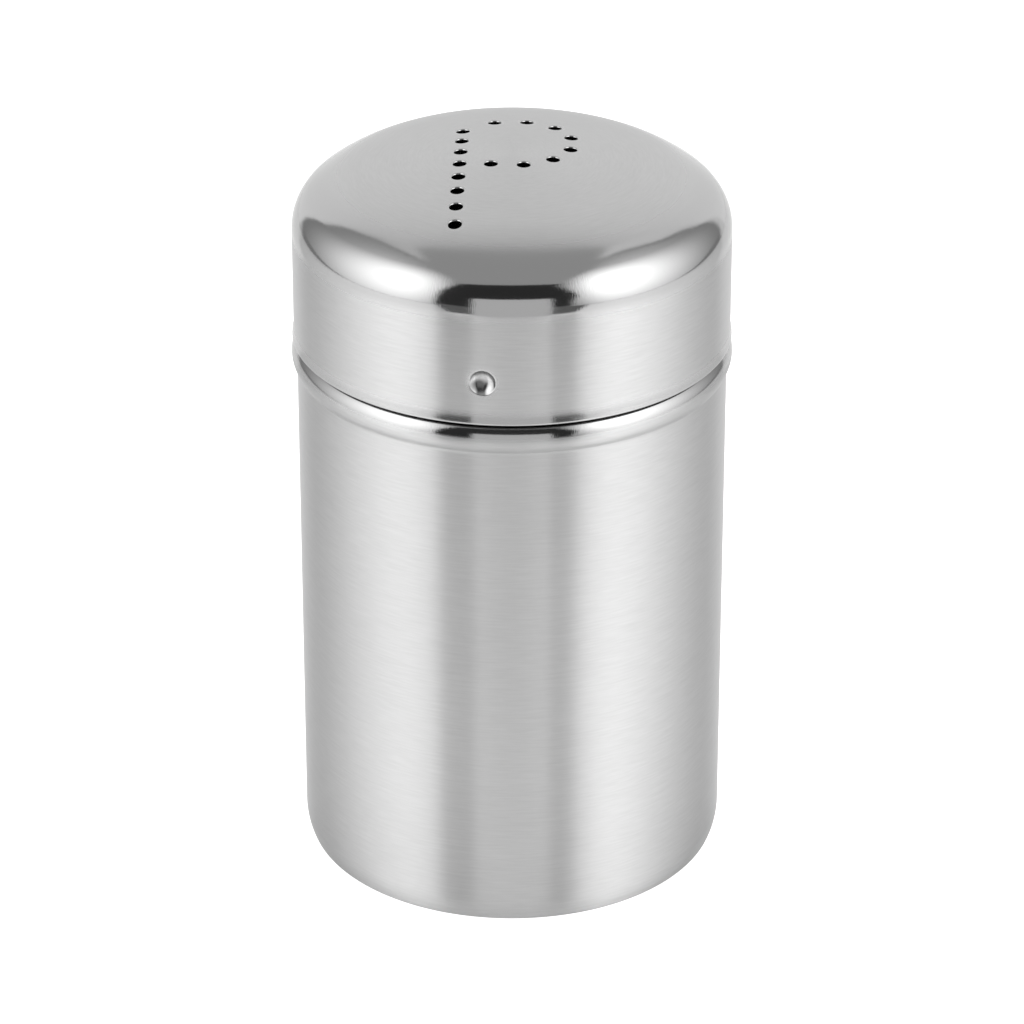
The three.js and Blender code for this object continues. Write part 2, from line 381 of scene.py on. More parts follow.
@dataclass(frozen=True)
class BrushedStainless:
    """Stainless steel sheet, 18/8 grade, brushed while it spins, with its bends left polished.

    The grit leaves fine lines round the axis, so the wall spreads reflections up and down more than
    sideways, and polished bends mirror the room sharply.
    """

    name: str
    line_dark: str = "#B7B7B7"  # satin steel, at the bottom and at the top of the grit lines
    line_light: str = "#BEBEBE"
    polished: str = "#B2B2B2"
    shaded: str = "#181818"  # painted shade: hole walls, the lid's inside, the crevices by the lip and the dimples' bowls
    edge_tint: str = "#E6E6E6"  # steel mirrors a little less than plain theory near grazing angles
    satin_roughness: float = 0.32
    polish_roughness: float = 0.09
    anisotropy: float = 0.95
    grit_turn: float = 0.25  # a quarter turn, which lays the spread of light across the grit lines
    line_width: float = 0.22  # grit lines are 0.05 mm wide, drawn coarser so that they show
    line_length: float = 3.2
    line_slope: float = 0.01
    line_roughness: float = 0.022
    line_contrast: Pair = (0.3, 0.7)  # the noise's range that goes from dark to light
    cloud_size: float = 9.0
    cloud_roughness: float = 0.02
    draw_width: float = 0.11  # faint marks across the bends, left by the press
    draw_length: float = 0.8
    draw_slope: float = 0.035
    wall_radius: float = 25.0

    def material(self) -> bpy.types.Material:
        """Makes the node material, which reads Object coordinates and the piece's attributes.

        Returns:
            The material.
        """
        material = bpy.data.materials.new(self.name)
        add = start_nodes(material)
        place = add("TexCoord", {}, "Object")
        flat = add("VectorMath", {0: place, 1: (1.0, 1.0, 0.0)}, operation="MULTIPLY")
        radius = add("VectorMath", {0: flat}, "Value", operation="LENGTH")
        bearing = add("VectorMath", {0: flat}, operation="NORMALIZE")
        height = add("SeparateXYZ", {0: place}, "Z")
        along = add("Math", {0: height, 1: radius}, operation="SUBTRACT")
        climb = add("CombineXYZ", {"Z": along})
        unrolled = add("VectorMath", {0: bearing, 1: climb}, operation="ADD")
        polish = add("Attribute", {}, "Fac", attribute_name="polish")
        shade = add("Attribute", {}, "Fac", attribute_name="shade")
        satin = add("Math", {0: 1.0, 1: polish}, operation="SUBTRACT")

        lines = self.streaks(add, unrolled, self.line_length, self.line_width)
        marks = self.streaks(add, unrolled, self.draw_width, self.draw_length)
        cloud_scale = 1.0 / (self.cloud_size * MM)
        clouds = add("TexNoise", {"Vector": place, "Scale": cloud_scale, "Detail": NOISE_DETAIL})

        ends = {0: polish, 3: self.satin_roughness, 4: self.polish_roughness}
        roughness = add("MapRange", ends)
        for pattern, amount in ((lines, self.line_roughness), (clouds, self.cloud_roughness)):
            shift = add("MapRange", {0: pattern, 3: -amount, 4: amount})
            part = add("Math", {0: shift, 1: satin}, operation="MULTIPLY")
            roughness = add("Math", {0: roughness, 1: part}, operation="ADD")

        low, high = self.line_contrast
        contrast = add("MapRange", {0: lines, 1: low, 2: high})
        colour = linear(self.line_dark)
        for share, tone in ((contrast, self.line_light), (polish, self.polished), (shade, self.shaded)):
            colour = add("Mix", {0: share, 6: colour, 7: linear(tone)}, 2, data_type="RGBA")

        line_depth = self.line_slope * self.line_width * MM
        mark_depth = self.draw_slope * self.draw_width * MM
        cut = add("Math", {0: lines, 1: satin}, operation="MULTIPLY")
        ribs = add("Math", {0: marks, 1: polish}, operation="MULTIPLY")
        brushed = add("Bump", {"Strength": 1.0, "Distance": line_depth, "Height": cut})
        drawn = {"Strength": 1.0, "Distance": mark_depth, "Height": ribs, "Normal": brushed}
        steel = add(
            "BsdfPrincipled",
            {
                "Base Color": colour,
                "Specular Tint": linear(self.edge_tint),
                "Metallic": 1.0,
                "Roughness": roughness,
                "Anisotropic": self.anisotropy,
                "Anisotropic Rotation": self.grit_turn,
                "Normal": add("Bump", drawn),
                "Tangent": add("Tangent", {}, direction_type="RADIAL", axis="Z"),
            },
        )
        add("OutputMaterial", {"Surface": steel})
        return material

    def streaks(self, add: Adder, unrolled: Output, around: float, along: float) -> Output:
        """Noise drawn out into streaks on the surface of revolution.

        Args:
            add: adds a node.
            unrolled: unit bearing in x and y, and height less radius in z, in metres.
            around: streak size round the axis, in millimetres on the wall.
            along: streak size along the profile, in millimetres.

        Returns:
            The noise's output, from 0 to 1.
        """
        turns = self.wall_radius / around
        stretch = (turns, turns, 1.0 / (along * MM))
        scaled = add("VectorMath", {0: unrolled, 1: stretch}, operation="MULTIPLY")
        return add("TexNoise", {"Vector": scaled, "Scale": 1.0, "Detail": NOISE_DETAIL})


# Pieces


@dataclass(frozen=True)
class Groove:
    """A bayonet groove pressed into the can's neck: an entry from the neck's edge and a level run."""

    bearing: float
    foot_height: float
    half_width: float = 2.35
    depth: float = 0.95
    wall: float = 1.0
    run: float = np.radians(30.0)
    neck_radius: float = 24.6

    def depth_at(self, bearings: np.ndarray, heights: np.ndarray) -> np.ndarray:
        """How deep the sheet is pressed in: an S-curve of the distance to the L-shaped middle line.

        Args:
            bearings: angles round the axis.
            heights: heights above the table.

        Returns:
            The depth at each place, in millimetres.
        """
        turn = (bearings - self.bearing + HALF_TURN) % FULL_TURN - HALF_TURN
        across = turn * self.neck_radius
        length = self.run * self.neck_radius
        entry = np.hypot(across, np.minimum(heights - self.foot_height, 0.0))
        beyond = np.maximum(across, 0.0) + np.minimum(across + length, 0.0)
        level = np.hypot(beyond, heights - self.foot_height)
        distance = np.minimum(entry, level)
        return self.depth * fade(distance, self.half_width - self.wall, self.half_width)


@dataclass
class Can:
    """The deep-drawn can: flat base, straight wall, rolled bead and drawn-in neck with two grooves."""

    neck_top: float
    bead_reach: float
    sheet: float = 0.5
    bead_stand: float = 0.62
    bead_height: float = 63.45
    bead_radius: float = 2.3
    bead_foot_fillet: float = 1.0
    bead_head_fillet: float = 0.4
    foot_radius: float = 0.85
    flank_radius: float = 7.3
    flank_sweep: float = np.radians(22.2)
    neck_inset: float = 0.4
    base_rings: int = 5
    wall_rings: int = 6
    bend_steps: int = 8
    bead_steps: int = 20
    fillet_steps: tuple[int, int] = (6, 5)  # below and above the bead
    neck_steps: tuple[int, int] = (58, 36)  # outside and inside
    columns: int = 260
    groove_columns: int = 84
    groove_span: float = np.radians(56.0)
    bead_polish: Pair = (63.75, 64.1)  # heights over which the bead's polish sets in
    neck_start: Pair = (65.9, 66.4)  # and those over which it gives way to the neck's
    neck_polish: float = 0.45
    corner_start: Pair = (65.1, 65.3)  # the corner above the bead under the lid's lip, where painted shade lies
    corner_end: Pair = (65.8, 66.3)
    corner_shade: float = 0.8
    finish: BrushedStainless = BrushedStainless("brushed_stainless_can")

    def __post_init__(self) -> None:
        """Works out the wall's and the neck's radius from the bead's reach."""
        self.radius = self.bead_reach - self.bead_stand
        self.neck_radius = self.radius - self.neck_inset
        self.bead_centre = (self.bead_reach - self.bead_radius, self.bead_height)

    def fillet_centre(self, wall: float, radius: float, side: float) -> Pair:
        """Middle of the hollow bend between the bead and the upright wall below or above it.

        Args:
            wall: radius of the upright wall.
            radius: the bend's radius.
            side: -1 below the bead and 1 above it.

        Returns:
            The place that is one radius from the wall and from the bead.
        """
        out = wall + radius
        rise = np.sqrt((self.bead_radius + radius) ** 2 - (out - self.bead_centre[0]) ** 2)
        return (out, self.bead_height + side * rise)

    def skin(self, skin: Skin) -> np.ndarray:
        """The profile of one skin, from the middle of the base to the neck's edge.

        Args:
            skin: which side of the sheet.

        Returns:
            Rows of (distance from the axis, height).
        """
        depth = self.sheet * skin.value
        lean, step = self.flank_sweep, self.flank_radius - self.foot_radius
        flank = (self.radius - self.flank_radius, self.foot_radius + step * np.sin(lean))
        foot = (flank[0] + step * np.cos(lean), self.foot_radius)
        low = self.fillet_centre(self.radius, self.bead_foot_fillet, -1.0)
        high = self.fillet_centre(self.neck_radius, self.bead_head_fillet, 1.0)
        low_turn = np.arctan2(low[1] - self.bead_height, low[0] - self.bead_centre[0])
        high_turn = np.arctan2(high[1] - self.bead_height, high[0] - self.bead_centre[0])
        base_radii = np.linspace(0.0, foot[0], self.base_rings + 1)[:-1]
        wall = np.linspace(flank[1], low[1], self.wall_rings + 2)[1:-1]
        neck_end = self.neck_top - self.sheet / 2.0
        neck = np.linspace(high[1], neck_end, self.neck_steps[skin.value] + 1)[1:]
        low_hollow, high_hollow = self.bead_foot_fillet + depth, self.bead_head_fillet + depth
        low_steps, high_steps = self.fillet_steps
        return np.vstack(
            [
                np.column_stack([base_radii, np.full(self.base_rings, depth)]),
                arc(foot, self.foot_radius - depth, -QUARTER_TURN, -lean, self.bend_steps),
                arc(flank, self.flank_radius - depth, -lean, 0.0, self.bend_steps)[1:],
                upright(self.radius - depth, wall),
                arc(low, low_hollow, HALF_TURN, HALF_TURN + low_turn, low_steps),
                arc(self.bead_centre, self.bead_radius - depth, low_turn, high_turn, self.bead_steps)[1:],
                arc(high, high_hollow, HALF_TURN + high_turn, HALF_TURN, high_steps)[1:],
                upright(self.neck_radius - depth, neck),
            ]
        )

    def bearings(self, grooves: list[Groove]) -> np.ndarray:
        """Places the columns, closer together where a groove lies.

        Args:
            grooves: the bayonet's grooves.

        Returns:
            The columns' angles, from the least to the greatest.
        """
        wide = np.linspace(-HALF_TURN, HALF_TURN, self.columns, endpoint=False)
        span = np.linspace(-0.5, 0.5, self.groove_columns) * self.groove_span
        spans = [groove.bearing - groove.run / 2.0 + span for groove in grooves]
        fine = (np.concatenate(spans) + HALF_TURN) % FULL_TURN - HALF_TURN
        turns = (wide[:, None] - fine[None, :] + HALF_TURN) % FULL_TURN - HALF_TURN
        kept = wide[np.abs(turns).min(axis=1) > self.groove_span / self.groove_columns]
        return np.sort(np.concatenate([kept, fine]))

    def build(self, grooves: list[Groove]) -> bpy.types.Object:
        """Makes the can as a turned shell, pressed in along the grooves.

        Args:
            grooves: the bayonet's grooves.

        Returns:
            The can's object.
        """
        half = self.sheet / 2.0
        edge = arc((self.neck_radius - half, self.neck_top - half), half, 0.0, HALF_TURN, self.bend_steps)
        profile = np.vstack([self.skin(Skin.OUTSIDE), edge[1:-1], self.skin(Skin.INSIDE)[::-1]])
        rings = profile[1:-1]
        bearings = self.bearings(grooves)
        turns, heights = np.meshgrid(bearings, rings[:, 1])
        above_bead = heights > self.bead_height + self.bead_radius / 2.0
        depths = sum(groove.depth_at(turns, heights) for groove in grooves) * above_bead
        grid = revolve(rings, bearings, depths)
        poles = np.array([[0.0, 0.0, profile[0, 1]], [0.0, 0.0, profile[-1, 1]]])
        columns, last = len(bearings), len(grid)
        first_ring = np.arange(columns)
        last_ring = last - columns + first_ring
        faces = [
            ring_quads(len(rings), columns),
            fan(first_ring, last)[:, ::-1],
            fan(last_ring, last + 1),
        ]
        shell = SheetMesh()
        shell.add(np.vstack([grid, poles]), faces)
        piece = shell.weld("can_shell")
        self.dress(piece)
        return piece

    def dress(self, piece: bpy.types.Object) -> None:
        """Polishes the bead, paints shade into the corner above it, and gives the can its steel.

        Args:
            piece: the can's object.
        """
        height = places_of(piece.data)[:, 2]
        neck = self.neck_polish * smooth(height, *self.neck_start)
        paint(piece, "polish", band(height, self.bead_polish, self.neck_start) + neck)
        # Painted shade in the crevice above the bead, under the lid's lip.
        paint(piece, "shade", self.corner_shade * band(height, self.corner_start, self.corner_end))
        piece.data.materials.append(self.finish.material())


@dataclass(frozen=True)
class PourHoles:
    """The punched holes: a straight stem and a round bowl, which make the letter P for pepper."""

    radius: float = 0.75
    stem_holes: int = 6
    stem_pitch: float = 3.33
    stem_foot_holes: int = 2
    stem_foot_pitch: float = 3.5
    stem_left: float = 5.9
    stem_back: float = 7.5
    bowl_holes: int = 8
    bowl_radius: float = 7.0
    bowl_left: float = 0.1
    bowl_back: float = 3.9
    bowl_step: float = np.radians(31.0)
    pattern_turn: float = np.radians(-1.7)
    dish_radius: float = 1.45  # the punch draws the sheet down a little round each hole
    dish_depth: float = 0.05
    lip_radius: float = 0.17
    burr_radius: float = 0.05
    sides: int = 40
    dish_steps: tuple[int, int] = (6, 5)  # outside and inside
    lip_steps: int = 6
    burr_steps: int = 3

    def centres(self) -> np.ndarray:
        """Works out where the holes are punched.

        Returns:
            The holes' middles seen from above, as rows of (x, y).
        """
        count = np.arange(self.stem_holes + self.stem_foot_holes)
        foot_gaps = np.maximum(0, count - self.stem_holes + 1)
        gaps = (count - foot_gaps) * self.stem_pitch + foot_gaps * self.stem_foot_pitch
        stem = np.column_stack([np.full(len(count), -self.stem_left), self.stem_back - gaps])
        reach = (self.bowl_holes - 1) / 2.0 * self.bowl_step
        middle = (-self.bowl_left, self.bowl_back)
        bowl = arc(middle, self.bowl_radius, reach, -reach, self.bowl_holes - 1)
        cosine, sine = direction(self.pattern_turn)
        return np.vstack([stem, bowl]) @ np.array([[cosine, sine], [-sine, cosine]])

    def lip(self, sheet: float) -> np.ndarray:
        """The profile of a hole's rim through the sheet, from the outside skin to the inside one.

        Args:
            sheet: thickness of the sheet.

        Returns:
            Rows of (distance from the hole's middle, depth below the outside skin).
        """
        dish = partial(dip, reach=self.dish_radius, depth=self.dish_depth)
        lip_edge, burr_edge = self.radius + self.lip_radius, self.radius + self.burr_radius
        outside = np.linspace(self.dish_radius, lip_edge, self.dish_steps[0] + 1)[:-1]
        inside = np.linspace(burr_edge, self.dish_radius, self.dish_steps[1] + 1)[1:]
        lip_middle = (lip_edge, dish(lip_edge) + self.lip_radius)
        burr_middle = (burr_edge, sheet + dish(burr_edge) - self.burr_radius)
        return np.vstack(
            [
                np.column_stack([outside, dish(outside)]),
                arc(lip_middle, self.lip_radius, -QUARTER_TURN, -HALF_TURN, self.lip_steps),
                arc(burr_middle, self.burr_radius, HALF_TURN, QUARTER_TURN, self.burr_steps),
                np.column_stack([inside, sheet + dish(inside)]),
            ]
        )


@dataclass(frozen=True)
class Dimple:
    """A round dimple pressed into the lid's skirt: a flat-bottomed bowl with a small bend at its rim."""

    bearing: float
    height: float
    width: float = 3.2
    rim_slope: float = np.radians(50.0)
    bowl_power: float = 2.8
    rim_bend: float = 0.16
    draw_depth: float = 0.07  # the press draws the skirt in a little round the dimple
    reach: float = 2.7
    draw_steps: int = 6
    bend_steps: int = 6
    bowl_steps: int = 14
    sides: int = 64
    polish: float = 0.35
    polish_end: Pair = (1.5, 2.0)
    bowl_shade: float = 0.7  # painted shade at the foot of the bowl, standing in for the dark front that it mirrors
    bowl_shade_place: Pair = (-0.5, -0.55)
    bowl_shade_size: Pair = (1.3, 1.0)
    bowl_shade_end: Pair = (0.35, 1.0)

    def bowl_shade_at(self, places: np.ndarray, low: float) -> np.ndarray:
        """How much painted shade lies in the bowl: an S-curve of the distance to its middle, in its sizes.

        Args:
            places: rows of (x, y, z).
            low: height of the lid's edge.

        Returns:
            The painted shade at each place, from 0 to 1.
        """
        cosine, sine = direction(self.bearing)
        across = places[:, 1] * cosine - places[:, 0] * sine
        front = places[:, 0] * cosine + places[:, 1] * sine > 0.0
        aside = (across - self.bowl_shade_place[0]) / self.bowl_shade_size[0]
        above = (places[:, 2] - low - self.height - self.bowl_shade_place[1]) / self.bowl_shade_size[1]
        return self.bowl_shade * fade(np.hypot(aside, above), *self.bowl_shade_end) * front

    def section(self, sheet: float) -> tuple[np.ndarray, np.ndarray]:
        """The dimple's section from its surroundings to its middle, on both skins.

        The bowl's depth falls from its middle as a power of the distance, the rim is an arc from the
        skirt to the bowl's slope, and half a cosine wave draws all of it in. The inside skin lies one
        sheet below the outside one, square to it.

        Args:
            sheet: thickness of the sheet.

        Returns:
            For the outside and the inside skin, rows of (distance from the middle, depth).
        """
        rim, bend = self.width / 2.0, self.rim_bend
        touch = rim - bend * np.sin(self.rim_slope)
        flat = np.linspace(self.reach, rim, self.draw_steps + 1)[:-1]
        turn = np.linspace(0.0, self.rim_slope, self.bend_steps + 1)
        share = np.cos(np.linspace(0.0, QUARTER_TURN, self.bowl_steps + 1))[1:]
        bowl_depth = np.tan(self.rim_slope) * touch / self.bowl_power
        bowl = bend * (1.0 - np.cos(self.rim_slope)) + bowl_depth * (1.0 - share**self.bowl_power)
        distance = np.concatenate([flat, rim - bend * np.sin(turn), touch * share])
        depth = np.concatenate([np.zeros(len(flat)), bend * (1.0 - np.cos(turn)), bowl])
        outside = np.column_stack([distance, depth + dip(distance, self.reach, self.draw_depth)])
        run = np.gradient(outside, axis=0)
        run /= np.linalg.norm(run, axis=1)[:, None]
        run[0] = run[-1] = (-1.0, 0.0)
        inside = outside + sheet * np.column_stack([run[:, 1], -run[:, 0]])
        return outside, inside


@dataclass
class Lid:
    """The drawn lid: flared edge, skirt with two dimples, rounded shoulder and a dome with pour holes."""

    low: float
    reach: float
    sheet: float = 0.5
    flare_radius: float = 6.5
    flare_sweep: float = np.radians(13.5)
    skirt_height: float = 13.4
    shoulder_radius: float = 5.27
    shoulder_sweep: float = np.radians(53.5)
    brow_radius: float = 17.5
    dome_edge_tilt: float = np.radians(10.1)
    dimple_bearing: float = np.radians(-97.5)
    dimple_height: float = 5.2
    columns: int = 360
    edge_steps: int = 8
    flare_steps: int = 8
    skirt_rings: int = 5
    shoulder_steps: int = 24
    brow_steps: int = 10
    window_cells: int = 7  # from a dimple's middle to its window's edge
    window_step: float = 0.43
    patch_radius: float = 19.6  # of the dome's patch of triangles, which holds the holes
    patch_step: float = 0.62
    patch_clearance: float = 0.217  # from a hole's dish to the nearest of the patch's points
    ring_turn: float = 0.3  # from ring to ring, so that the patch shows no rows
    ring_extra: int = 5
    exact_within: float = 0.01  # of the outside skin, where a point gets its exact normal
    shoulder_start: Pair = (-0.6, 0.3)  # of its polish, along the profile from the shoulder's foot
    shoulder_end: Pair = (7.5, 14.0)
    lip_polish: float = 0.8
    lip_end: Pair = (0.7, 1.6)  # heights above the lid's edge
    rim_polish: float = 0.8
    rim_end: Pair = (1.0, 1.15)  # distances from a hole's middle
    wall_end: Pair = (0.79, 0.9)  # of the painted shade on a hole's wall, from the hole's middle
    wall_start: Pair = (0.1, 0.25)  # depths below the outside skin
    inside_shade: float = 0.5
    inside_start: Pair = (0.3, 0.45)
    under_shade: float = 0.8
    under_end: Pair = (0.02, 0.12)
    holes: PourHoles = PourHoles()
    finish: BrushedStainless = BrushedStainless("brushed_stainless_lid", satin_roughness=0.29)
    dome_finish: BrushedStainless = BrushedStainless(
        "satin_stainless_dome",
        line_dark="#B7B7B7",
        line_light="#BDBDBD",
        satin_roughness=0.36,
        anisotropy=0.3,
        line_slope=0.008,
    )

    def __post_init__(self) -> None:
        """Works out the skirt's radius and the middles of the arcs from the lid's reach and low edge."""
        half = self.sheet / 2.0
        self.radius = self.reach - self.flare_radius * (1.0 - np.cos(self.flare_sweep))
        to_edge = (self.flare_radius + half) * direction(self.flare_sweep)
        self.flare_centre = np.array([self.radius + self.flare_radius, self.low + half + to_edge[1]])
        self.edge_centre = self.flare_centre - to_edge
        self.shoulder_centre = np.array([self.radius - self.shoulder_radius, self.low + self.skirt_height])
        step = self.brow_radius - self.shoulder_radius
        self.brow_centre = self.shoulder_centre - step * direction(self.shoulder_sweep)
        self.dome_edge = QUARTER_TURN - self.dome_edge_tilt
        self.dome_radius = self.brow_radius + self.brow_centre[0] / np.cos(self.dome_edge)
        drop = (self.dome_radius - self.brow_radius) * np.sin(self.dome_edge)
        self.dome_centre = np.array([0.0, self.brow_centre[1] - drop])
        self.patch_edge = float(self.normal_angle(np.array([self.patch_radius]))[0])

    @property
    def dimples(self) -> list[Dimple]:
        """The bayonet's two dimples, half a turn apart."""
        return [Dimple(self.dimple_bearing + turn, self.dimple_height) for turn in (0.0, HALF_TURN)]

    @property
    def window_heights(self) -> np.ndarray:
        """Heights above the edge of the rows that pass the dimples."""
        steps = np.arange(-self.window_cells, self.window_cells + 1)
        return self.dimple_height + steps * self.window_step

    def normal_angle(self, distances: np.ndarray) -> np.ndarray:
        """The angle up from level of the normal on dome and brow.

        Args:
            distances: distances from the axis.

        Returns:
            The angle at each distance.
        """
        on_dome = distances <= self.dome_radius * np.cos(self.dome_edge)
        dome = np.arccos(np.clip(distances / self.dome_radius, 0.0, 1.0))
        brow = np.arccos(np.clip((distances - self.brow_centre[0]) / self.brow_radius, -1.0, 1.0))
        return np.where(on_dome, dome, brow)

    def dome_normals(self, flat: np.ndarray) -> np.ndarray:
        """The normals of dome and brow.

        Args:
            flat: rows of (x, y), seen from above.

        Returns:
            A unit vector for each of them.
        """
        distances = np.linalg.norm(flat, axis=1)
        angles = self.normal_angle(distances)
        outward = flat / np.maximum(distances, 1e-9)[:, None]
        return np.column_stack([outward * np.cos(angles)[:, None], np.sin(angles)])

    def on_dome(self, flat: np.ndarray, depth: np.ndarray | float = 0.0) -> np.ndarray:
        """Places on the dome and brow above flat points (x, y), at a depth along the normal.

        Args:
            flat: rows of (x, y) on the outside skin, seen from above.
            depth: how far below the outside skin.

        Returns:
            Rows of (x, y, z).
        """
        normals = self.dome_normals(flat)
        rise = normals[:, 2]
        dome = self.dome_centre[1] + self.dome_radius * rise
        brow = self.brow_centre[1] + self.brow_radius * rise
        surface = np.column_stack([flat, np.where(rise >= np.sin(self.dome_edge), dome, brow)])
        return surface - normals * np.reshape(depth, (-1, 1))

    def on_skirt(self, bearing: float, flat: np.ndarray, depth: np.ndarray | float = 0.0) -> np.ndarray:
        """Places on the straight skirt from unrolled ones, at a depth into the sheet.

        Args:
            bearing: the angle round the axis at which the unrolled ones start.
            flat: rows of (length round the skirt, height above the lid's edge).
            depth: how far below the outside skin.

        Returns:
            Rows of (x, y, z).
        """
        turns = bearing + flat[:, 0] / self.radius
        out = self.radius - np.ravel(depth)
        return np.column_stack([out * np.cos(turns), out * np.sin(turns), self.low + flat[:, 1]])

    def skin(self, skin: Skin) -> np.ndarray:
        """The profile of one skin, from the edge up to the dome's patch.

        Args:
            skin: which side of the sheet.

        Returns:
            Rows of (distance from the axis, height).
        """
        depth = self.sheet * skin.value
        window = self.low + self.window_heights
        above = np.linspace(window[-1], self.shoulder_centre[1], self.skirt_rings + 2)[1:-1]
        flare_end = HALF_TURN + self.flare_sweep
        sweep, brow = self.shoulder_sweep, self.brow_radius - depth
        return np.vstack(
            [
                arc(self.flare_centre, self.flare_radius + depth, flare_end, HALF_TURN, self.flare_steps),
                upright(self.radius - depth, np.concatenate([window, above])),
                arc(self.shoulder_centre, self.shoulder_radius - depth, 0.0, sweep, self.shoulder_steps),
                arc(self.brow_centre, brow, sweep, self.patch_edge, self.brow_steps)[1:],
            ]
        )

    def turned_skin(self, skin: Skin, bearings: np.ndarray) -> tuple[np.ndarray, np.ndarray]:
        """One skin of the skirt and shoulder as a grid, without the cells of the dimples' windows.

        Args:
            skin: which side of the sheet.
            bearings: angles of the columns.

        Returns:
            The grid's points and its quads.
        """
        profile = self.skin(skin)
        quads = ring_quads(len(profile), len(bearings))
        row, column = np.divmod(np.arange(len(quads)), len(bearings))
        first_row = self.flare_steps + 1
        in_rows = (row >= first_row) & (row < first_row + 2 * self.window_cells)
        half = len(bearings) // 2
        in_columns = np.abs(column % half + 0.5 - half // 2) < self.window_cells
        return revolve(profile, bearings), quads[~(in_rows & in_columns)]

    def dimple_window(self, shell: SheetMesh, dimple: Dimple) -> None:
        """Fills a window in the skirt with a dimple: rings of its section, and triangles round them.

        Args:
            shell: the lid's shell.
            dimple: the dimple.
        """
        column_step = FULL_TURN / self.columns * self.radius
        across = np.arange(-self.window_cells, self.window_cells + 1) * column_step
        up = self.window_heights
        boundary = np.vstack(
            [
                upright(up[0], across[:-1])[:, ::-1],
                upright(across[-1], up[:-1]),
                upright(up[-1], across[:0:-1])[:, ::-1],
                upright(across[0], up[:0:-1]),
            ]
        )
        centre = np.array([[0.0, dimple.height]])
        flat, faces = triangles_between(boundary, centre, dimple.reach, dimple.sides, np.empty((0, 2)))
        for skin, section in zip(Skin, dimple.section(self.sheet)):
            shell.add(self.on_skirt(dimple.bearing, flat, self.sheet * skin.value), [faces], skin)
            rings, depths = rings_of(section[:-1], dimple.sides)
            flat_rings = np.vstack([rings + centre, centre])
            last_ring = len(rings) - dimple.sides + np.arange(dimple.sides)
            quads = ring_quads(len(section) - 1, dimple.sides)
            places = self.on_skirt(dimple.bearing, flat_rings, np.append(depths, section[-1, 1]))
            shell.add(places, [quads, fan(last_ring, len(rings))], skin)

    def dome_points(self, centres: np.ndarray) -> np.ndarray:
        """Points between the holes, on rings about the axis, clear of the holes' dishes.

        Args:
            centres: the holes' middles.

        Returns:
            Rows of (x, y).
        """
        radii = np.arange(self.patch_radius - self.patch_step, 0.0, -self.patch_step)
        counts = (FULL_TURN * radii / self.patch_step).astype(int) + self.ring_extra
        starts = self.ring_turn * np.arange(len(radii))
        rings = [circle(*ring) for ring in zip(radii, counts, starts)]
        points = np.vstack(rings + [np.zeros((1, 2))])
        return points[nearest(points, centres) > self.holes.dish_radius + self.patch_clearance]

    def dome_patch(self, shell: SheetMesh, bearings: np.ndarray) -> None:
        """Covers the lid with its dome: triangles between the holes, and each hole's rolled rim.

        Args:
            shell: the lid's shell.
            bearings: angles of the columns that the dome joins.
        """
        holes = self.holes
        centres = holes.centres()
        boundary = self.patch_radius * np.column_stack([np.cos(bearings), np.sin(bearings)])
        inner = self.dome_points(centres)
        flat, faces = triangles_between(boundary, centres, holes.dish_radius, holes.sides, inner)
        for skin in Skin:
            shell.add(self.on_dome(flat, self.sheet * skin.value), [faces], skin)
        section = holes.lip(self.sheet)
        rings, depths = rings_of(section, holes.sides)
        for centre in centres:
            shell.add(self.on_dome(centre + rings, depths), [ring_quads(len(section), holes.sides)])

    def build(self) -> bpy.types.Object:
        """Makes the lid's closed shell and dresses it.

        Both skins go up from the skirt's half-round edge to the dome.

        Returns:
            The lid's object.
        """
        shell = SheetMesh()
        first = self.dimple_bearing - QUARTER_TURN
        bearings = first + np.arange(self.columns) * FULL_TURN / self.columns
        for skin in Skin:
            points, quads = self.turned_skin(skin, bearings)
            shell.add(points, [quads], skin)
        start = HALF_TURN + self.flare_sweep
        edge = arc(self.edge_centre, self.sheet / 2.0, start, start + HALF_TURN, self.edge_steps)
        shell.add(revolve(edge, bearings), [ring_quads(len(edge), len(bearings))])
        for dimple in self.dimples:
            self.dimple_window(shell, dimple)
        self.dome_patch(shell, bearings)
        piece = shell.weld("lid_shell")
        places = places_of(piece.data)
        self.smooth_normals(piece.data, places)
        self.dress(piece, places)
        return piece

    def smooth_normals(self, mesh: bpy.types.Mesh, places: np.ndarray) -> None:
        """Gives the outside of dome and brow their exact normals, so that no triangle shows in them.

        Args:
            mesh: the lid's mesh.
            places: its points in millimetres.
        """
        flat = places[:, :2]
        near_skin = np.abs(self.on_dome(flat)[:, 2] - places[:, 2]) < self.exact_within
        clear = nearest(flat, self.holes.centres()) > self.holes.dish_radius - self.exact_within
        brow_foot = self.brow_centre[0] + self.brow_radius * np.cos(self.shoulder_sweep)
        chosen = near_skin & clear & (np.linalg.norm(flat, axis=1) < brow_foot)
        normals = vectors(mesh.vertices, "normal")
        normals[chosen] = self.dome_normals(flat[chosen])
        mesh.normals_split_custom_set_from_vertices(normals.tolist())

    def dress(self, piece: bpy.types.Object, places: np.ndarray) -> None:
        """Polishes the bends, paints shade into the holes' walls, the inside skin, the lip's underside and
        the dimples' bowls, and gives the lid its two steels.

        The shoulder's polish follows height less distance from the axis, which grows all the way up
        the skirt and over the shoulder.

        Args:
            piece: the lid's object.
            places: its points in millimetres.
        """
        distance = np.hypot(places[:, 0], places[:, 1])
        height = places[:, 2] - self.low
        hole_gaps = nearest(places[:, :2], self.holes.centres())
        below_skin = self.on_dome(places[:, :2])[:, 2] - places[:, 2]
        on_top = (distance < self.patch_radius) & (places[:, 2] > self.shoulder_centre[1])

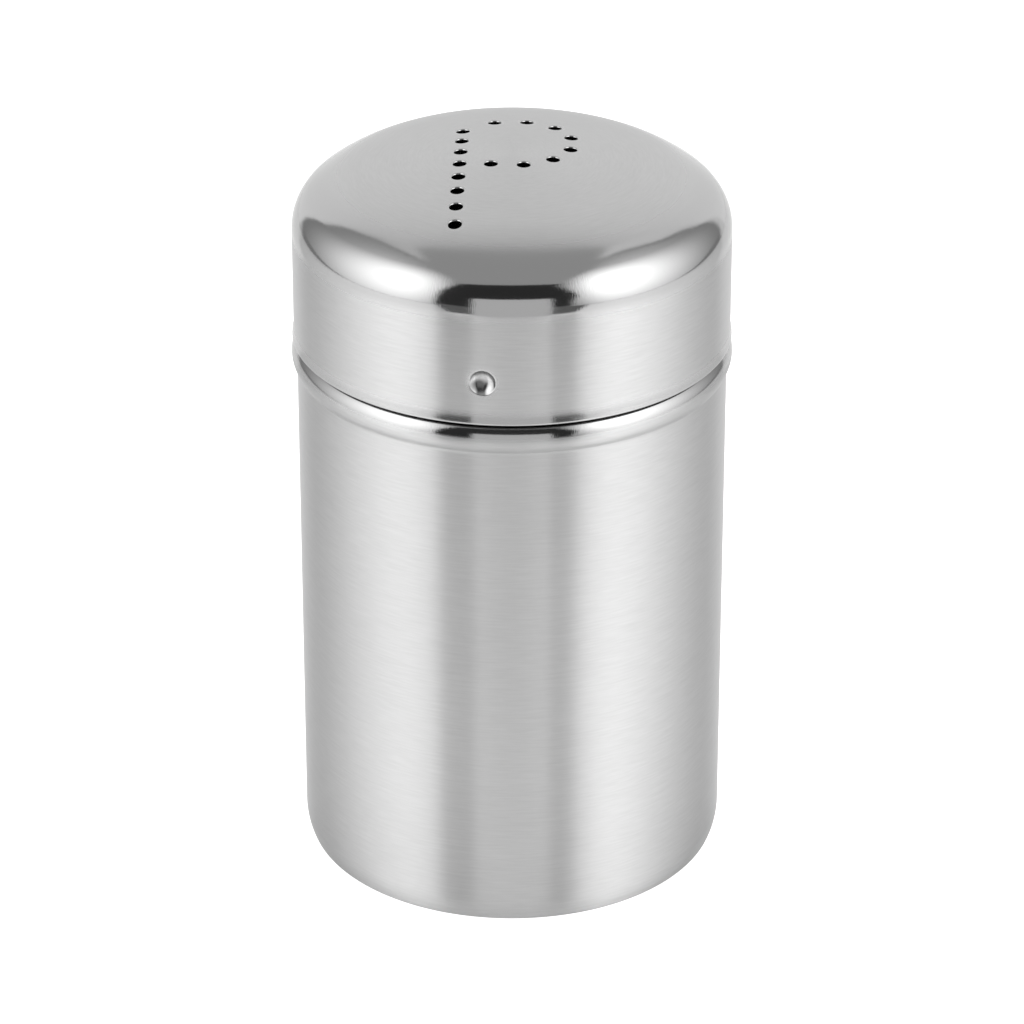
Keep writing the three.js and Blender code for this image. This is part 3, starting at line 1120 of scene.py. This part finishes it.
        along = places[:, 2] - distance - (self.shoulder_centre[1] - self.radius)
        polish = band(along, self.shoulder_start, self.shoulder_end)
        bowl_shade = np.zeros(len(places))
        for dimple in self.dimples:
            middle = self.on_skirt(dimple.bearing, np.array([[0.0, dimple.height]]))
            polish += dimple.polish * fade(nearest(places, middle), *dimple.polish_end)
            # Painted shade at the foot of each dimple's bowl.
            bowl_shade += dimple.bowl_shade_at(places, self.low)
        polish += self.lip_polish * fade(height, *self.lip_end)
        polish += self.rim_polish * fade(hole_gaps, *self.rim_end) * on_top
        paint(piece, "polish", polish)

        # Painted shade: the holes' walls, the inside skin under the dome and the underside of the lip.
        walls = fade(hole_gaps, *self.wall_end) * smooth(below_skin, *self.wall_start) * on_top
        inside = self.inside_shade * smooth(below_skin, *self.inside_start) * on_top
        under = self.under_shade * fade(height, *self.under_end)
        paint(piece, "shade", np.maximum(walls, inside) + under + bowl_shade)

        piece.data.materials.append(self.finish.material())
        piece.data.materials.append(self.dome_finish.material())
        on_dome = vectors(piece.data.polygons, "center")[:, 2] / MM > self.shoulder_centre[1]
        piece.data.polygons.foreach_set("material_index", on_dome.astype(np.int32))


# Studio


@dataclass(frozen=True)
class SoftBox:
    """One soft box beside the table: its front, its lamp, and the rim of the tent's card behind it.

    Each place is (distance behind the object, height), in millimetres.
    """

    name: str
    side: float
    front: tuple[Pair, ...]
    lamp: Pair
    lamp_radiance: float
    rim: tuple[Pair, ...]
    tent_radiance: float


@dataclass(frozen=True)
class FloorPool:
    """A bell-shaped pool of light or shade that the steel sees on the floor, the same left and right."""

    radiance: float
    place: Pair
    spread: Pair
    turn: float = 0.0


LEFT_BOX = SoftBox(
    name="left",
    side=-1.0,
    front=((-578.0, 2.0), (-578.0, 450.0), (-700.0, 1070.0)),
    lamp=(-243.0, 369.0),
    lamp_radiance=2.36,
    rim=(
        *((80.0, 1077.0), (222.0, 877.0), (322.0, 752.0), (373.0, 622.0), (426.0, 499.0)),
        *((480.0, 396.0), (503.0, 330.0), (500.0, 160.0), (494.0, 83.0), (414.0, 2.0)),
    ),
    tent_radiance=0.85,
)
RIGHT_BOX = SoftBox(
    name="right",
    side=1.0,
    front=((-800.0, 2.0), (-800.0, 150.0), (-690.0, 330.0), (-690.0, 450.0), (-860.0, 1070.0)),
    lamp=(-275.0, 423.0),
    lamp_radiance=2.79,
    rim=(
        *((110.0, 1090.0), (215.0, 900.0), (253.0, 751.0), (300.0, 612.0), (377.0, 513.0)),
        *((435.0, 393.0), (440.0, 290.0), (437.0, 206.0), (428.0, 90.0), (400.0, 2.0)),
    ),
    tent_radiance=1.02,
)


def rectangle(half: float, first: Pair, second: Pair) -> list[Place]:
    """Corners of a rectangle, as far to the left as to the right, between two lines at (y, height)."""
    return [(-half, *first), (half, *first), (half, *second), (-half, *second)]


@dataclass
class Studio:
    """A plain light tent: glossy white floor, two big soft boxes, a pale back, a dark room in front."""

    half_width: float = 450.0
    boxes: tuple[SoftBox, ...] = (LEFT_BOX, RIGHT_BOX)
    box_radiance: float = 0.33
    lamp_spread: Pair = (252.0, 356.0)
    box_gap: float = 22.0  # between a soft box and the rim of the tent's card behind it
    box_top: Pair = (0.0, 1070.0)
    box_foot: tuple[Pair, ...] = ((385.0, 62.0), (240.0, 50.0), (90.0, 14.0), (-20.0, 2.0))
    card_foot: float = 2.0  # the cards hang just clear of the floor
    side_end: float = 560.0  # how far back the tent's side cards reach
    side_top_end: float = 120.0
    top_height: float = 1100.0
    top_half_width: float = 500.0
    top_ends: Pair = (-735.0, 300.0)  # its front and its back edge
    top_radiance: float = 0.52
    back_half_width: float = 455.0
    back_ends: Pair = (540.0, 300.0)  # its foot and its top
    back_seam: float = 5.0  # how far its top stays below the tent's top card
    back_low_radiance: float = 1.3
    back_high_radiance: float = 0.8
    card_distance: float = 180.0
    card_half_width: float = 61.0
    card_height: float = 135.0
    card_radiance: float = 0.82
    flag_distance: float = 215.0  # of a dim card that lies on the floor in front
    flag_side: tuple[Pair, ...] = ((118.0, -200.0), (1130.0, -1390.0))
    flag_height: float = 1.0
    flag_radiance: float = 0.2
    room_span: float = 1400.0
    room_heights: Pair = (-400.0, 2000.0)
    room_radiance: float = 0.35
    dark_radiance: float = 0.045
    floor_ends: Pair = (-1390.0, 540.0)
    floor_glow: float = 0.95
    mirrored_floor_glow: float = 0.47
    pools: tuple[FloorPool, ...] = (
        FloorPool(0.5, (61.0, -137.0), (20.0, 72.0), np.radians(24.0)),
        FloorPool(-0.25, (23.0, -18.0), (11.0, 14.0)),
    )
    floor_gloss: float = 0.36
    floor_roughness: float = 0.1
    floor_colour: str = "#BFBFBF"

    def glow(self, name: str, radiance: Light) -> bpy.types.Material:
        """Makes a glowing material.

        Args:
            name: the material's name.
            radiance: its brightness, where 1 is white, or a function that makes nodes for it.

        Returns:
            The material.
        """
        material = bpy.data.materials.new(name)
        add = start_nodes(material)
        strength = radiance(add) if callable(radiance) else radiance
        light = add("Emission", {"Color": linear(WHITE), "Strength": strength})
        add("OutputMaterial", {"Surface": light})
        return material

    def bell(self, add: Adder, place: Output, middle: Place, spread: Place, turn: float = 0.0) -> Output:
        """A bell-shaped fall from 1 at its middle.

        Args:
            add: adds a node.
            place: the output with the place that is lit, in metres.
            middle: where the bell is highest, in millimetres.
            spread: how broad it is along each axis, in millimetres.
            turn: how far it is turned round the vertical axis.

        Returns:
            The output of exp(-d^2 / 2), where d is the distance to the middle in spreads.
        """
        settings = {
            "Vector": place,
            "Location": tuple(np.array(middle) * MM),
            "Rotation": (0.0, 0.0, turn),
            "Scale": tuple(np.array(spread) * MM),
        }
        away = add("Mapping", settings, vector_type="TEXTURE")
        square = add("VectorMath", {0: away, 1: away}, "Value", operation="DOT_PRODUCT")
        fall = add("Math", {0: square, 1: -0.5}, operation="MULTIPLY")
        return add("Math", {0: fall}, operation="EXPONENT")

    def soft_box_light(self, add: Adder, box: SoftBox) -> Output:
        """Radiance of a soft box: dim cloth with a tall bell-shaped glow of the lamp behind it.

        Args:
            add: adds a node.
            box: the soft box.

        Returns:
            The output of the sum of cloth and lamp.
        """
        place = add("TexCoord", {}, "Object")
        flat = add("VectorMath", {0: place, 1: (0.0, 1.0, 1.0)}, operation="MULTIPLY")
        bell = self.bell(add, flat, (0.0, *box.lamp), (ANY_SPREAD, *self.lamp_spread))
        sums = {0: bell, 1: box.lamp_radiance, 2: self.box_radiance}
        return add("Math", sums, operation="MULTIPLY_ADD")

    def mirrored_floor_light(self, add: Adder) -> Output:
        """What the steel sees of the floor: even light, a long pool of it in front, shade by the foot.

        Args:
            add: adds a node.

        Returns:
            The output of their sum.
        """
        place = add("TexCoord", {}, "Object")
        parts = add("SeparateXYZ", {0: place}).node.outputs
        aside = add("Math", {0: parts["X"]}, operation="ABSOLUTE")
        folded = add("CombineXYZ", {0: aside, 1: parts["Y"]})
        light = self.mirrored_floor_glow
        for pool in self.pools:
            bell = self.bell(add, folded, (*pool.place, 0.0), (*pool.spread, ANY_SPREAD), pool.turn)
            sums = {0: bell, 1: pool.radiance, 2: light}
            light = add("Math", sums, operation="MULTIPLY_ADD")
        return light

    def backdrop_light(self, add: Adder) -> Output:
        """Radiance of the backdrop, which falls evenly from its foot to its top.

        Args:
            add: adds a node.

        Returns:
            The output of the radiance.
        """
        place = add("TexCoord", {}, "Object")
        height = add("SeparateXYZ", {0: place}, "Z")
        top = self.top_height * MM
        fall = {0: height, 2: top, 3: self.back_low_radiance, 4: self.back_high_radiance}
        return add("MapRange", fall)

    def sheet(self, name: str, corners: list[Place], material: bpy.types.Material) -> bpy.types.Object:
        """A flat sheet of the studio, which is stage and no part of the object.

        Args:
            name: the sheet's name.
            corners: its corners in order, in millimetres.
            material: what it is made of.

        Returns:
            The new object.
        """
        mesh = bpy.data.meshes.new(name)
        mesh.from_pydata((np.array(corners) * MM).tolist(), [], [list(range(len(corners)))])
        mesh.materials.append(material)
        sheet = link(name, mesh)
        return sheet

    def card(self, name: str, corners: list[Place], radiance: Light) -> None:
        """Hangs a flat glowing card that the steel mirrors and the camera doesn't see."""
        self.sheet(name, corners, self.glow(name, radiance)).visible_camera = False

    def build_cards(self) -> None:
        """Hangs the tent's cards round the table.

        A soft box is round at the back and hangs clear of the floor there, and behind it, past a narrow
        gap, a side card of the tent follows its edge.
        """
        foot, high = self.card_foot, self.top_height
        corner = [(self.side_end, foot), (self.side_end, high), (self.side_top_end, high)]
        for box in self.boxes:
            x = box.side * self.half_width
            edge = (np.array(box.rim[:-1]) - self.box_gap).tolist()
            outline = [*box.front, self.box_top, *edge, *self.box_foot]
            light = partial(self.soft_box_light, box=box)
            self.card(f"soft_box_{box.name}", [(x, *place) for place in outline], light)
            behind = [(x, *place) for place in [*box.rim, *corner]]
            self.card(f"tent_{box.name}", behind, box.tent_radiance)

        near, far = self.top_ends
        top = rectangle(self.top_half_width, (near, high), (far, high))
        self.card("tent_top", top, self.top_radiance)
        low_end, high_end = self.back_ends
        back = rectangle(self.back_half_width, (low_end, foot), (high_end, high - self.back_seam))
        self.card("tent_back", back, self.backdrop_light)

        near = -self.card_distance
        front = rectangle(self.card_half_width, (near, foot), (near, self.card_height))
        self.card("front_card", front, self.card_radiance)
        half = self.card_half_width * self.flag_distance / self.card_distance
        right_side = [(half, -self.flag_distance), *self.flag_side]
        left_side = [(-x, y) for x, y in right_side[::-1]]
        flag = [(x, y, self.flag_height) for x, y in right_side + left_side]
        self.card("front_flag", flag, self.flag_radiance)

    def build_room(self) -> None:
        """Stands a dim room round the tent, dark behind the camera, which only the steel sees."""
        span = self.room_span
        base, top = self.room_heights
        ring = [(-span, -span), (span, -span), (span, span), (-span, span)]
        sides = ("front", "right", "back", "left")
        for side, first, second in zip(sides, ring, ring[1:] + ring[:1]):
            corners = [(*first, base), (*second, base), (*second, top), (*first, top)]
            radiance = self.dark_radiance if side == "front" else self.room_radiance
            self.card(f"room_{side}", corners, radiance)
        self.card("room_ceiling", [(*corner, top) for corner in ring], self.room_radiance)

    def build_floor(self) -> None:
        """Lays the glossy white floor between the soft boxes.

        It stays white for the camera and keeps the object's shadow.
        """
        material = bpy.data.materials.new("white_floor")
        add = start_nodes(material)
        path = add("LightPath", {}, "Is Camera Ray").node
        shares = {
            "Is Camera Ray": self.floor_glow,
            "Is Glossy Ray": self.mirrored_floor_light(add),
            "Is Transmission Ray": self.floor_glow,
        }
        strength = 0.0
        for ray, share in shares.items():
            sums = {0: path.outputs[ray], 1: share, 2: strength}
            strength = add("Math", sums, operation="MULTIPLY_ADD")
        glow = add("Emission", {"Color": linear(WHITE), "Strength": strength})
        matt = add("BsdfDiffuse", {"Color": linear(self.floor_colour)})
        shine = {"Color": linear(WHITE), "Roughness": self.floor_roughness}
        gloss = add("BsdfAnisotropic", shine)
        acrylic = add("MixShader", {0: self.floor_gloss, 1: matt, 2: gloss})
        add("OutputMaterial", {"Surface": add("AddShader", {0: glow, 1: acrylic})})
        near, far = self.floor_ends
        self.sheet("floor", rectangle(self.half_width, (near, 0.0), (far, 0.0)), material)

    def build_world(self) -> None:
        """Fills the world with plain white, seen past the floor's end."""
        world = bpy.data.worlds.new("white_world")
        add = start_nodes(world)
        add("OutputWorld", {"Surface": add("Background", {"Color": linear(WHITE), "Strength": 1.0})})
        bpy.context.scene.world = world

    def build(self) -> None:
        """Sets up the whole studio."""
        self.build_floor()
        self.build_cards()
        self.build_room()
        self.build_world()


@dataclass
class ViewCamera:
    """The camera at the photograph's angle: 27.4 degrees above level, square to the front."""

    elevation: float = np.radians(27.37)
    distance: float = 587.9
    target_height: float = 41.6
    focal_pixels: float = 4965.5
    sensor: float = 36.0

    def build(self) -> None:
        """Creates the camera and makes it the scene's."""
        data = bpy.data.cameras.new("view_camera")
        data.sensor_width = self.sensor
        data.lens = self.focal_pixels * self.sensor / PHOTO_WIDTH
        camera = link("view_camera", data)
        away = Vector((0.0, -np.cos(self.elevation), np.sin(self.elevation)))
        camera.location = (Vector((0.0, 0.0, self.target_height)) + away * self.distance) * MM
        camera.rotation_euler = away.to_track_quat("Z", "Y").to_euler()
        bpy.context.scene.camera = camera


def main() -> None:
    """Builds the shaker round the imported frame, and the studio that shows it."""
    logging.basicConfig(level=logging.INFO, format="%(name)s: %(message)s")
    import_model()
    scene = bpy.context.scene
    scene.view_settings.view_transform = "Standard"
    ViewCamera().build()

    _, can_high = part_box("can")
    lid_low, lid_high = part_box("lid")
    lid = Lid(low=lid_low.z / MM, reach=lid_high.x / MM)
    can = Can(neck_top=can_high.z / MM, bead_reach=can_high.x / MM)
    grooves = [Groove(dimple.bearing, lid.low + dimple.height) for dimple in lid.dimples]

    can_shell = can.build(grooves)
    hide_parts("can")
    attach(can_shell, "can")
    log.info("can_shell: %d faces", len(can_shell.data.polygons))

    lid_shell = lid.build()
    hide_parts("lid")
    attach(lid_shell, "lid")
    log.info("lid_shell: %d faces", len(lid_shell.data.polygons))

    Studio().build()


if __name__ == "__main__":
    main()
